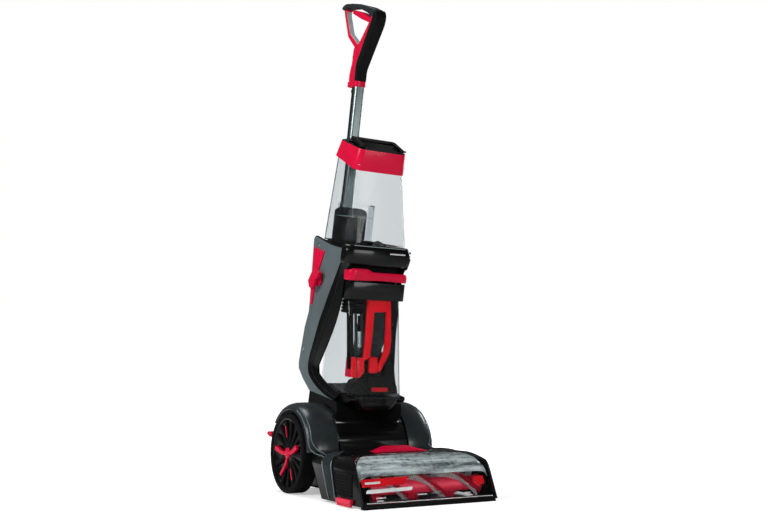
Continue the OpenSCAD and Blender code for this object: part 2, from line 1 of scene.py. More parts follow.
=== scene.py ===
"""Looks of the upright carpet washer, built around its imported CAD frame.

Lengths inside the helpers are millimetres, turned into metres where a mesh is made.
Foot pieces are placed with ft(x, y, z), y counting back from the wheel axle.
Upright pieces are placed with up(x, v, u), v counting back and u along the leaning body.
"""
import json
import math

import bmesh
import bpy
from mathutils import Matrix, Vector
from mathutils.bvhtree import BVHTree


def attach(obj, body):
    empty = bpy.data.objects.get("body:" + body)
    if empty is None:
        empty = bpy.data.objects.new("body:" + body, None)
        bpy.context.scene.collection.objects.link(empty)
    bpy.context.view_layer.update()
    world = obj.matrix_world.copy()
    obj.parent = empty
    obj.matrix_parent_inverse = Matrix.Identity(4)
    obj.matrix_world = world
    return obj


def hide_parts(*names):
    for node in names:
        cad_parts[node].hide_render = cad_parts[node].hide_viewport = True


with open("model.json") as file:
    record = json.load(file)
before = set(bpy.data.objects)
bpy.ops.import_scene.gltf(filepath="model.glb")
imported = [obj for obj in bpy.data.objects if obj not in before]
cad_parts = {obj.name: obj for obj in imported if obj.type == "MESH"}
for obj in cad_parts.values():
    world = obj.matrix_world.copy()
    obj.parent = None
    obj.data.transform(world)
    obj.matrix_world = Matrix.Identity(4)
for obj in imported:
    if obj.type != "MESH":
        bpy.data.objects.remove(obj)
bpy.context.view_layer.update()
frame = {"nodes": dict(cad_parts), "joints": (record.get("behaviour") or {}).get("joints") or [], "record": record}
nodes = frame["nodes"]
joints = {j["name"]: j for j in frame["joints"]}
body_of = {node: body for body, members in frame["record"]["behaviour"]["bodies"].items()
           for node in members}
slot_of = {part["node"]: part["material_slot"] for part in frame["record"]["subparts"]}

MM = 0.001
AXLE = Vector(joints["recline"]["pos_m"])
UP = -Vector(joints["trigger_rod_slide"]["axis"])
BACK = -Vector(joints["dirty_tank_slide"]["axis"])
SIDE = Vector((1, 0, 0))
AXLE_HIGH = round(AXLE.z / MM, 3)


def ft(x, y, z):
    """A place on the foot: y back from the axle, z from the floor."""
    return Vector((x * MM, AXLE.y + y * MM, z * MM))


def up(x, v, u):
    """A place on the upright: v back from the axle, u along the body."""
    return AXLE + SIDE * (x * MM) + BACK * (v * MM) + UP * (u * MM)


# ---- Camera -----------------------------------------------------------------

def make_camera():
    """The photograph's viewpoint: front left, low, looking slightly up."""
    azimuth, pitch = math.radians(30.15), math.radians(7.99)
    data = bpy.data.cameras.new("camera")
    data.lens, data.sensor_width = 44.17, 36.0
    cam = bpy.data.objects.new("camera", data)
    bpy.context.scene.collection.objects.link(cam)
    cam.location = (-0.985, AXLE.y - 1.836, 0.218)
    look = Vector((math.sin(azimuth) * math.cos(pitch), math.cos(azimuth) * math.cos(pitch),
                   math.sin(pitch)))
    cam.rotation_euler = look.to_track_quat("-Z", "Y").to_euler()
    bpy.context.scene.camera = cam


make_camera()


# ---- Materials --------------------------------------------------------------

class Nodes:
    """Short way to build a node material around one Principled shader."""

    def __init__(self, name):
        self.mat = bpy.data.materials.new(name)
        self.mat.use_nodes = True
        self.tree = self.mat.node_tree
        self.shader = self.tree.nodes["Principled BSDF"]
        self.place = self.add("ShaderNodeTexCoord").outputs["Object"]

    def add(self, kind, links=(), **settings):
        """A node with settings on its attributes or sockets, and (socket, source) links."""
        node = self.tree.nodes.new(kind)
        for key, value in settings.items():
            if hasattr(node, key):
                setattr(node, key, value)
            else:
                node.inputs[key.replace("_", " ")].default_value = value
        for socket, source in links:
            self.tree.links.new(source, node.inputs[socket])
        return node

    def noise(self, scale, detail=4.0, rough=0.55, stretch=None):
        source = self.place
        if stretch:
            source = self.add("ShaderNodeMapping", [("Vector", source)], Scale=stretch).outputs[0]
        return self.add("ShaderNodeTexNoise", [("Vector", source)],
                        Scale=scale, Detail=detail, Roughness=rough).outputs["Fac"]

    def ramp(self, source, low, high, a=0.35, b=0.65):
        """Maps a factor from a..b onto two colours."""
        node = self.add("ShaderNodeValToRGB", [("Fac", source)])
        ends = node.color_ramp.elements
        ends[0].position, ends[1].position = a, b
        ends[0].color, ends[1].color = (*low, 1), (*high, 1)
        return node.outputs["Color"]

    def span(self, source, low, high):
        """Maps a factor from 0.3..0.7 onto low..high."""
        return self.add("ShaderNodeMapRange", [("Value", source)],
                        From_Min=0.3, From_Max=0.7, To_Min=low, To_Max=high).outputs["Result"]

    def set(self, **sockets):
        for key, value in sockets.items():
            self.shader.inputs[key.replace("_", " ")].default_value = value
        return self

    def link(self, socket, source):
        self.tree.links.new(source, self.shader.inputs[socket])
        return self

    def bump(self, source, strength, distance=0.0004):
        node = self.add("ShaderNodeBump", [("Height", source)], Strength=strength, Distance=distance)
        return self.link("Normal", node.outputs["Normal"])


def shade(colour, factor):
    return tuple(c * factor for c in colour)


def plastic(name, colour, rough, grain=1400, bump=0.12, coat=0.0, mottle=0.12, spec=0.07):
    """Moulded plastic: spark-eroded grain, slow colour and gloss variation, paler worn edges."""
    m = Nodes(name)
    slow = m.noise(22, 5, 0.6)
    worn = m.add("ShaderNodeNewGeometry").outputs["Pointiness"]
    wear = m.add("ShaderNodeMapRange", [("Value", worn)], From_Min=0.52, From_Max=0.62, To_Min=0.0,
                 To_Max=0.35)
    body = m.ramp(slow, shade(colour, 1 - mottle), shade(colour, 1 + mottle))
    pale = tuple(min(1.0, c * 1.25 + 0.003) for c in colour)
    mix = m.add("ShaderNodeMix", data_type="RGBA")
    m.tree.links.new(body, mix.inputs[6])
    mix.inputs[7].default_value = (*pale, 1)
    m.tree.links.new(wear.outputs["Result"], mix.inputs[0])
    m.link("Base Color", mix.outputs[2])
    m.link("Roughness", m.span(m.noise(60, 3), rough * 0.85, min(1, rough * 1.2)))
    m.bump(m.noise(grain, 2), bump, 0.00015)
    m.set(Coat_Weight=coat, Coat_Roughness=0.08, Specular_IOR_Level=spec)
    return m.mat


def flake(name, colour, rough):
    """Metallic-flake plastic: tiny cells whose tone and tilt differ."""
    m = Nodes(name)
    cells = m.add("ShaderNodeTexVoronoi", [("Vector", m.place)], Scale=2600)
    sparkle = m.ramp(cells.outputs["Distance"], shade(colour, 0.85), shade(colour, 1.3), 0.1, 0.6)
    slow = m.ramp(m.noise(18, 4), (0.9, 0.9, 0.9), (1.08, 1.08, 1.08))
    tone = m.add("ShaderNodeMix", data_type="RGBA", blend_type="MULTIPLY")
    tone.inputs[0].default_value = 1.0
    m.tree.links.new(sparkle, tone.inputs[6])
    m.tree.links.new(slow, tone.inputs[7])
    m.link("Base Color", tone.outputs[2])
    m.link("Roughness", m.span(m.noise(70, 3), rough * 0.85, rough * 1.2))
    m.bump(m.noise(1500, 2), 0.08, 0.0001)
    m.set(Metallic=0.35, Coat_Weight=0.2, Coat_Roughness=0.12, Specular_IOR_Level=0.2)
    return m.mat


def clear(name, tint, rough=0.03, haze=0.0):
    """Clear moulded plastic: fine swirl and scratches, and light passes through it to what is behind."""
    m = Nodes(name)
    scratch = m.noise(90, 6, 0.7, stretch=(1, 1, 0.08))
    m.link("Roughness", m.span(scratch, rough, rough * 2.5 + haze))
    m.bump(m.noise(14, 2), 0.05, 0.0006)
    m.link("Base Color", m.ramp(m.noise(8, 2), tint, tuple(min(1, c * 1.02) for c in tint)))
    m.set(Transmission_Weight=1.0, IOR=1.05, Coat_Weight=0.16, Coat_Roughness=0.04)
    through = m.add("ShaderNodeBsdfTransparent", Color=(*tint, 1))
    is_shadow = m.add("ShaderNodeLightPath").outputs["Is Shadow Ray"]
    mix = m.add("ShaderNodeMixShader", [(0, is_shadow), (1, m.shader.outputs[0]),
                                        (2, through.outputs[0])])
    out = m.tree.nodes["Material Output"]
    m.tree.links.new(mix.outputs[0], out.inputs["Surface"])
    return m.mat


def metal(name, colour, rough, stretch, bump=0.15):
    """Drawn or machined metal: streaks along one direction."""
    m = Nodes(name)
    streak = m.noise(160, 5, 0.65, stretch=stretch)
    m.link("Base Color", m.ramp(streak, shade(colour, 0.86), shade(colour, 1.1)))
    m.link("Roughness", m.span(streak, rough * 0.8, rough * 1.35))
    m.bump(streak, bump, 0.0001)
    m.set(Metallic=1.0)
    return m.mat


def rubber(name, colour, rough=0.75):
    """Soft rubber: dusty, fine pitted surface."""
    m = Nodes(name)
    m.link("Base Color", m.ramp(m.noise(30, 6, 0.7), shade(colour, 0.8),
                                tuple(c * 1.6 + 0.001 for c in colour)))
    m.link("Roughness", m.span(m.noise(110, 4), rough * 0.85, min(1, rough * 1.15)))
    m.bump(m.noise(2200, 3), 0.3, 0.0002)
    m.set(Specular_IOR_Level=0.1)
    return m.mat


def frosted(name, dark, light):
    """Frosted plastic with long bright and dark streaks across the machine."""
    m = Nodes(name)
    streak = m.noise(26, 6, 0.7, stretch=(0.35, 2.2, 2.2))
    m.link("Base Color", m.ramp(streak, dark, light, 0.4, 0.6))
    m.link("Roughness", m.span(m.noise(120, 3), 0.2, 0.4))
    m.bump(m.noise(30, 5, 0.6, stretch=(0.5, 2, 2)), 0.35, 0.002)
    m.set(Coat_Weight=0.5, Coat_Roughness=0.1)
    return m.mat


def nylon(name, colour):
    """Bristle: streaks along the filament."""
    m = Nodes(name)
    m.link("Base Color", m.ramp(m.noise(900, 3), shade(colour, 0.6),
                                tuple(min(1, c * 1.3 + 0.02) for c in colour)))
    m.link("Roughness", m.span(m.noise(300, 2), 0.35, 0.6))
    m.bump(m.noise(2500, 2), 0.3, 0.0002)
    return m.mat


RED = (0.55, 0.002, 0.034)
M = {
    "gloss_black": plastic("gloss_black", (0.0022, 0.0024, 0.0027), 0.24, coat=0.3, bump=0.05),
    "matt_black": plastic("matt_black", (0.0036, 0.0039, 0.0041), 0.5, bump=0.3, spec=0.05),
    "dark_grey": plastic("dark_grey", (0.018, 0.0225, 0.024), 0.4, bump=0.25),
    "grip": rubber("grip", (0.0016, 0.0016, 0.0018), 0.6),
    "grey": flake("grey", (0.11, 0.14, 0.15), 0.36),
    "deep_grey": flake("deep_grey", (0.021, 0.027, 0.029), 0.3),
    # A mid grey; the shelf's pale edge line also uses it as a painted highlight.
    "liner_grey_and_highlight": plastic("liner_grey_and_highlight", (0.3, 0.36, 0.36), 0.4),
    "red": plastic("red", RED, 0.32, coat=0.13, bump=0.06, mottle=0.08),
    "inner_red": plastic("inner_red", (0.8, 0.002, 0.01), 0.35, mottle=0.08),
    "bristle": nylon("bristle", (0.75, 0.006, 0.05)),
    # Near-white bristle colour: painted glints along the brush's rows.
    "pale_bristle": nylon("pale_bristle", (0.95, 0.96, 0.96)),
    "tyre": rubber("tyre", (0.0028, 0.0028, 0.003)),
    "tank": clear("tank", (0.79, 0.815, 0.825)),
    "window": clear("window", (0.93, 0.95, 0.95), 0.04, 0.02),
    "frost": frosted("frost", (0.035, 0.045, 0.048), (0.4, 0.45, 0.46)),
    "pole": metal("pole", (0.24, 0.285, 0.285), 0.38, (9, 9, 0.05), 0.04),
    "cast": metal("cast", (0.42, 0.43, 0.45), 0.45, (1, 1, 1), 0.4),
    "steel": metal("steel", (0.55, 0.56, 0.58), 0.28, (0.1, 3, 3)),
    "belt": rubber("belt", (0.01, 0.01, 0.01), 0.65),
    # White for print, and for the painted highlight stripe on the shelf's front plate.
    "white_print_and_highlight": plastic("white_print_and_highlight", (0.5, 0.51, 0.51), 0.5, bump=0.02),
    "red_print": plastic("red_print", (0.42, 0.003, 0.008), 0.4, bump=0.02),
}
SLOT_LOOK = {"black_plastic": "gloss_black", "matt_plastic": "matt_black", "soft_grip": "grip",
             "titanium_plastic": "grey", "red_plastic": "red", "bristle": "bristle", "tyre": "tyre",
             "clear_plastic": "tank", "pole_metal": "pole", "motor_metal": "cast", "steel": "steel",
             "belt": "belt", }
OWN_LOOK = {"fender_left": "deep_grey", "fender_right": "deep_grey", "foot_trims": "dark_grey",
            "side_grilles": "matt_black", "nozzle_window": "window", "trigger_rod": "dark_grey"}


# ---- Making pieces ----------------------------------------------------------

def bevel(obj, width, segments=3):
    """Rounds the edges that turn by more than 32 degrees."""
    mod = obj.modifiers.new("edge", "BEVEL")
    mod.width, mod.segments, mod.angle_limit = width * MM, segments, math.radians(32)
    mod.limit_method, mod.harden_normals = "ANGLE", True
    mod.use_clamp_overlap = True


def finish_cad(name, width):
    """A CAD node keeps its mesh: its facets are merged and its edges softened by modifiers only."""
    obj = nodes[name]
    weld = obj.modifiers.new("weld", "WELD")
    weld.merge_threshold = 2e-6
    flat = obj.modifiers.new("flat", "DECIMATE")
    flat.decimate_type, flat.angle_limit = "DISSOLVE", math.radians(0.6)
    if width:
        bevel(obj, width)


def smooth(mesh, angle=34):
    """Smooth shading, kept sharp where faces meet at more than the angle."""
    mesh.polygons.foreach_set("use_smooth", [True] * len(mesh.polygons))
    mesh.set_sharp_from_angle(angle=math.radians(angle))


def piece(name, verts, faces, look, node, slot=None, stands_for=(), soft=0.0, angle=34, segments=3):
    """A mesh object from points in metres that rides with a CAD node's body."""
    mesh = bpy.data.meshes.new(name)
    mesh.from_pydata([tuple(v) for v in verts], [], faces)
    work = bmesh.new()
    work.from_mesh(mesh)
    bmesh.ops.remove_doubles(work, verts=work.verts, dist=1e-6)
    bmesh.ops.recalc_face_normals(work, faces=work.faces)
    work.to_mesh(mesh)
    work.free()
    smooth(mesh, angle)
    obj = bpy.data.objects.new(name, mesh)
    bpy.context.scene.collection.objects.link(obj)
    mesh.materials.append(M[look])
    if soft:
        bevel(obj, soft, segments)
    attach(obj, body_of[node])
    if stands_for:
        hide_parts(*stands_for)


def fillet(points, radius, steps=5):
    """A closed 2D outline with each corner cut back and turned into a smooth arc."""
    out = []
    count = len(points)
    for i, here in enumerate(points):
        here = Vector(here)
        r = radius[i] if isinstance(radius, (list, tuple)) else radius
        before, after = Vector(points[i - 1]) - here, Vector(points[(i + 1) % count]) - here
        cut = min(r, before.length * 0.48, after.length * 0.48)
        if cut < 0.3:
            out.append(here)
            continue
        a, b = here + before.normalized() * cut, here + after.normalized() * cut
        for k in range(steps + 1):
            t = k / steps
            out.append(a * (1 - t) ** 2 + here * 2 * t * (1 - t) + b * t * t)
    return out


def prism(name, outline, place, depth, look, node, **more):
    """A slab: outline points (a, b) placed by place(a, b), thickened by the vector depth in mm."""
    base = [place(*p) for p in outline]
    shift = Vector(depth) * MM
    n = len(base)
    verts = base + [p + shift for p in base]
    faces = [tuple(range(n)), tuple(range(2 * n - 1, n - 1, -1))]
    faces += [(i, (i + 1) % n, n + (i + 1) % n, n + i) for i in range(n)]
    piece(name, verts, faces, look, node, **more)


def side_prism(name, outline, x0, x1, look, node, **more):
    """A slab across x between two x places, from (v, u) points."""
    prism(name, outline, lambda v, u: up(x0, v, u), (x1 - x0, 0, 0), look, node, **more)


def loft(name, rings, look, node, closed=False, **more):
    """Skin through rings of equal count, capped at both ends unless it closes on itself."""
    n = len(rings[0])
    verts = [p for ring in rings for p in ring]
    faces = []
    spans = len(rings) if closed else len(rings) - 1
    for r in range(spans):
        s = (r + 1) % len(rings)
        faces += [(r * n + i, r * n + (i + 1) % n, s * n + (i + 1) % n, s * n + i) for i in range(n)]
    if not closed:
        faces += [tuple(range(n)), tuple(range(len(verts) - n, len(verts)))]
    piece(name, verts, faces, look, node, **more)


def tube(name, points, radius, look, node, cyclic=False):
    """A round bead or wire through points in metres."""
    curve = bpy.data.curves.new(name, "CURVE")
    curve.dimensions, curve.bevel_depth, curve.bevel_resolution = "3D", radius * MM, 3
    curve.use_fill_caps = True
    line = curve.splines.new("POLY")
    line.points.add(len(points) - 1)
    for p, v in zip(line.points, points):
        p.co = (*v, 1)
    line.use_cyclic_u = cyclic
    curve.materials.append(M[look])
    obj = bpy.data.objects.new(name, curve)
    bpy.context.scene.collection.objects.link(obj)
    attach(obj, body_of[node])


def rounded_rect(half_x, y0, y1, r, steps=6):
    """Outline of a rectangle with round corners, as (x, y) points."""
    out = []
    for cx, cy, start in ((half_x - r, y1 - r, 0), (-half_x + r, y1 - r, 90),
                          (-half_x + r, y0 + r, 180), (half_x - r, y0 + r, 270)):
        for k in range(steps + 1):
            a = math.radians(start + 90 * k / steps)
            out.append((cx + r * math.cos(a), cy + r * math.sin(a)))
    return out


def circle(r, steps, middle):
    """Points round a circle, as (a, b) pairs."""
    turns = [k * math.tau / steps for k in range(steps)]
    return [(middle[0] + r * math.cos(a), middle[1] + r * math.sin(a)) for a in turns]


def ribbon(path, left, right):
    """Closed outline of a strip that runs left and right of a 2D path."""
    points = [Vector(p) for p in path]
    one, other = [], []
    for i, here in enumerate(points):
        along = (points[min(i + 1, len(points) - 1)] - points[max(i - 1, 0)]).normalized()
        across = Vector((-along.y, along.x))
        one.append(here + across * (left[i] if isinstance(left, list) else left))
        other.append(here - across * (right[i] if isinstance(right, list) else right))
    return one + other[::-1]


def flow(points, steps=5):
    """A smooth path through points of any size."""
    pts = [Vector(p) for p in points]
    pts = [pts[0] * 2 - pts[1]] + pts + [pts[-1] * 2 - pts[-2]]
    out = []
    for a, b, c, d in zip(pts, pts[1:], pts[2:], pts[3:]):
        for k in range(steps):
            t = k / steps
            out.append(0.5 * (b * 2 + (c - a) * t + (a * 2 - b * 5 + c * 4 - d) * t * t
                              + (b * 3 - a - c * 3 + d) * t ** 3))
    return out + [pts[-2]]


def merged(parts):
    """Joins (verts, faces) lists into one."""
    verts, faces = [], []
    for v, f in parts:
        faces += [tuple(i + len(verts) for i in face) for face in f]
        verts += v
    return verts, faces


# ---- The CAD nodes that stay ------------------------------------------------

EDGE = {"foot_cover": 1.2, "cowl": 1.0, "fender_left": 1.2, "fender_right": 1.2, "pole_socket": 1.0,
        "clean_tank_collar": 1.0, "clean_tank_cap": 1.2, "dirty_tank_lid": 1.5, "pivot_drum": 1.0}


def dress_nodes():
    """Every CAD node gets its material, softened edges and smooth shading."""
    for name, obj in nodes.items():
        look = OWN_LOOK.get(name) or SLOT_LOOK[slot_of[name]]
        obj.data.materials.clear()
        obj.data.materials.append(M[look])
        smooth(obj.data)
        finish_cad(name, EDGE.get(name, 0.6))


# ---- Handle -----------------------------------------------------------------

def handle():
    """Rubber grip, dark seam and top bar, red inner shell, thin rear bar and the collar ring."""
    seam = [(140, 810), (140, 848), (122, 880), (108, 905), (85.5, 946)]
    grip = seam + [(83, 957), (76, 963.5), (69, 956), (66.5, 946), (70, 930), (96, 890), (125, 845),
                   (131, 834), (131, 810)]
    side_prism("grip_rubber", fillet(grip, [0, 9, 9, 9, 6, 5, 4, 7, 8, 12, 12, 12, 8, 0]), -13.5, 13.5,
               "grip", "handle_grip", stands_for=["handle_grip"], slot="soft_grip", soft=4.2, segments=5,
               angle=60)
    side_prism("handle_seam", ribbon(flow(seam, 4), 2.0, 1.5), -12.9, 12.9, "dark_grey", "handle_frame",
               slot="matt_plastic", soft=0.6)
    bar = [(83, 945), (76, 962), (112, 975), (149, 984.5), (190, 991.5), (226, 995.5), (241, 991),
           (244, 986), (236, 981), (222, 985), (180, 980.5), (149, 973.5), (116, 961), (110, 958.6),
           (98, 950.6)]
    side_prism("handle_top", fillet(bar, 7), -12.4, 12.4, "dark_grey", "handle_frame",
               stands_for=["handle_frame"], slot="matt_plastic", soft=3.2, segments=5, angle=60)
    shell = [(136, 810), (136, 848), (118, 880), (104, 905), (88, 948), (99.5, 952.5), (105.5, 937),
             (144, 893.5), (155, 897), (166, 885), (166, 856), (174, 828), (174, 810)]
    side_prism("handle_shell", fillet(shell, 6), -11, 11, "red", "handle_inner",
               stands_for=["handle_inner"], slot="red_plastic", soft=2.6, segments=4, angle=60)
    rear = [(150, 884), (162, 884), (207, 917), (235, 970), (241, 986), (226, 986), (225, 971),
            (199, 924), (158, 897), (146, 893)]
    side_prism("handle_rear_bar", fillet(rear, 5), -7, 7, "red", "handle_inner", slot="red_plastic",
               soft=1.8)
    side_prism("handle_rear_liner", ribbon([(151, 894.5), (158, 897.5), (199, 924.7), (224.6, 971.3),
                                            (226, 979)], 0.5, 1.2), -5.8, 5.8, "liner_grey_and_highlight",
               "handle_inner", soft=0.3)
    ring = [(x, v + 152.5) for x, v in rounded_rect(14, -23.5, 23.5, 8)]
    prism("handle_ring", ring, lambda a, b: up(a, b, 798), UP * 12.5, "red", "handle_inner", soft=1.2)


# ---- Body: side frames, bands, shelf ----------------------------------------

REAR_EDGE = [(129, 440), (120, 311), (119, 286), (132, 249), (144, 168), (141, 154), (115, 136),
             (77, 117)]
BAND_OUT = [(-34, 427), (-13, 411), (-1, 392), (13, 366), (26, 344), (44, 308), (62, 273), (77, 232),
            (91, 193), (95, 173), (90, 155), (70, 142), (42, 132), (3, 124), (-20, 122), (-44, 121)]
BAND_IN = [(-37, 404), (-27, 398), (-21, 380), (-19, 350), (-13, 320), (0, 281), (16, 249), (37, 213),
           (59, 177), (61, 167), (53, 159), (32, 151), (9, 145), (-14, 140.5), (-30, 138), (-50, 137)]


def side_frames():
    """Grey side plates with a black two-facet band along the dirty tank, a painted highlight line along the band's
    crease, and a dark rim on top.
    """
    top = [(128, 443), (124.5, 450), (116, 453.5), (98, 451), (68, 445.5), (38, 441), (-8, 438.5),
           (-33, 439.5)]
    band = [tuple(p) for p in flow(BAND_OUT, 3)]
    plate = [tuple(p) for p in flow(top, 4)] + band[2:] + [(3, 119.5)] + REAR_EDGE[::-1]
    edges = list(zip(flow(BAND_OUT, 3), flow(BAND_IN, 3)))
    for side, label in ((-1, "left"), (1, "right")):
        node = "side_frame_" + label
        side_prism("side_plate_" + label, plate, side * 70, side * 78, "grey", node,
                   stands_for=[node], slot="titanium_plastic", soft=1.6)
        web = fillet([(126, 405), (118, 311), (117, 286), (130, 249), (141, 168), (112, 140), (80, 122),
                      (76, 130), (90, 170), (92, 190), (84, 295), (84, 405)], 5)
        side_prism("side_web_" + label, web, side * 52, side * 70.5, "matt_black", node, soft=0.8)
        tube("side_rim_" + label, [up(side * 76.8, p.x, p.y + 0.6) for p in flow(top, 4)], 1.7,
             "gloss_black", node)
        rings = []
        for out, inner in edges:
            mid = out.lerp(inner, 0.45)
            back = out.lerp(inner, 0.98)
            rings.append([up(side * x, p.x, p.y) for x, p in ((78.3, out), (78.0, out.lerp(inner, 0.12)),
                                                              (75.6, mid), (74.8, mid.lerp(inner, 0.12)),
                                                              (70.5, inner), (67.1, back), (67.1, out))])
        loft("tank_band_" + label, rings, "gloss_black", "tank_surround", slot="black_plastic", angle=28)
        if side < 0:
            rings = [[up(x, v, u) for v, u in circle(r, 24, (78, 362))]
                     for x, r in ((-77, 4), (-90, 4), (-91, 3.2))]
            loft("hook_pin_cap", rings, "dark_grey", node)
        # Dark-grey line along the band's middle crease: a painted highlight on the glossy black.
        highlight_line = [up(side * 75.9, *out.lerp(inner, 0.47)) for out, inner in edges[4:]]
        tube("band_highlight_line_" + label, highlight_line, 0.55, "dark_grey", "tank_surround")


def level_rings(levels, steps=6):
    """Rounded rectangles stacked along u: each level is (u, half width, v0, v1, corner radius)."""
    return [[up(x, v, u) for x, v in rounded_rect(half, v0, v1, r, steps)]
            for u, half, v0, v1, r in levels]


def tray_and_toe():
    """Tray under the dirty tank and the bowl-shaped toe below it."""
    side_prism("tank_tray", fillet([(-85, 125), (-90, 131), (-88.5, 137.5), (60, 137.5), (60, 117),
                                    (-56, 121)], 3), -67, 67, "gloss_black", "tank_surround",
               slot="black_plastic", soft=1.2, stands_for=["tank_surround"])
    loft("toe", level_rings([(108, 34, -87, -62, 10), (109.5, 38, -89, -60, 11),
                             (114, 43, -89.8, -58, 12), (122, 50, -90, -54, 13),
                             (130, 55.5, -90, -51, 14), (134, 57, -90.5, -50, 14),
                             (137.4, 57.4, -90.6, -50, 14)]), "gloss_black", "tank_surround",
         slot="black_plastic")
    rim = [up(x, v, 136.6) for x, v in rounded_rect(58, -90.6, -30, 14)]
    tube("tray_rim", rim, 0.9, "dark_grey", "tank_surround", cyclic=True)


SHELF_HALF = 81.2   # half width of the shelf's front plate


def bowed(x, half, front):
    """How far back the plate's bowed face is at x, from its foremost place."""
    return front + 9 * (x / half) ** 2


def shelf():
    """Hollow shelf, its rounded front plate, and the housing over the dirty tank."""
    plan = fillet([(-70, -32), (70, -32), (70, 126), (34, 126), (34, 176), (-34, 176), (-34, 126),
                   (-70, 126)], [2, 2, 14, 6, 14, 14, 6, 14])
    prism("shelf_tray", plan, lambda a, b: up(a, b, 406), UP * 40, "gloss_black", "shelf_band",
          stands_for=["shelf_band"], slot="black_plastic", soft=1.5)
    side_prism("shelf_housing", fillet([(-12, 408), (-12, 374), (54, 374), (54, 408)], 4), -60, 60,
               "matt_black", "shelf_band", slot="black_plastic", soft=1.0)
    prism("shelf_lid", plan, lambda a, b: up(a, b, 446), UP * 3, "gloss_black", "shelf_deck",
          stands_for=["shelf_deck"], slot="matt_plastic", soft=1.0)

    def bow(u, inset):
        """Outline of the front plate at one height: bowed forward, with round corners."""
        half = SHELF_HALF - inset
        round_off = 15
        ring = []
        for k in range(41):
            x = -half * math.cos(math.pi * k / 40)
            corner = max(0.0, abs(x) - half + round_off)
            turned = round_off - math.sqrt(round_off ** 2 - corner ** 2)
            ring.append((x, bowed(x, half, -45.5 + inset) + turned))
        return [up(x, v, u) for x, v in ring + [(half, -14), (-half, -14)]]

    levels = [(405.2, 8), (406.2, 4.6), (408.4, 2.2), (412, 0.7), (418, 0), (432, 0), (438, 0.5),
              (443, 2), (446.8, 4.6), (448.8, 8)]
    loft("shelf_front", [bow(u, g) for u, g in levels], "gloss_black", "shelf_band", slot="black_plastic",
         angle=50)
    # Pale tube along the top edge of the front plate: a painted highlight line, not a part.
    tube("shelf_highlight_line", bow(446.9, 4.3)[8:33], 0.6, "liner_grey_and_highlight", "shelf_band")
    # Short white band across the bowed front plate: a painted highlight on the glossy black.
    edges = ((433.6, 0), (436.4, 0), (436.4, 0.6), (433.6, 0.6))
    stripe = [[up(x, bowed(x, SHELF_HALF, -45.7) + push, u) for u, push in edges]
              for x in range(20, 61, 4)]
    loft("shelf_highlight_stripe", stripe, "white_print_and_highlight", "shelf_band")
    for side in (-1, 1):
        web = fillet([(-33, 423.5), (-33, 407), (-13, 407), (84, 407), (88, 446), (-33, 440)], 3)
        side_prism("shelf_cheek_%d" % (side + 1), web, side * 66, side * 70.2, "gloss_black",
                   "shelf_band", soft=0.5)


# ---- Dirty tank --------------------------------------------------------------

WALL_TOP = (-42, 335)   # v and u of the front wall's upper edge
WALL_LEAN = math.tan(math.radians(13))


def front_face(x, u, deep=0.0):
    """A place on the dirty tank's leaning front wall, deep millimetres behind it."""
    return up(x, WALL_TOP[0] + (u - WALL_TOP[1]) * WALL_LEAN + deep, u)


def wall_prism(name, outline, deep, thick, look, node, **more):
    """A slab parallel to the dirty tank's front wall, from (x, u) points."""
    prism(name, outline, lambda a, b: front_face(a, b, deep), BACK * thick, look, node, **more)


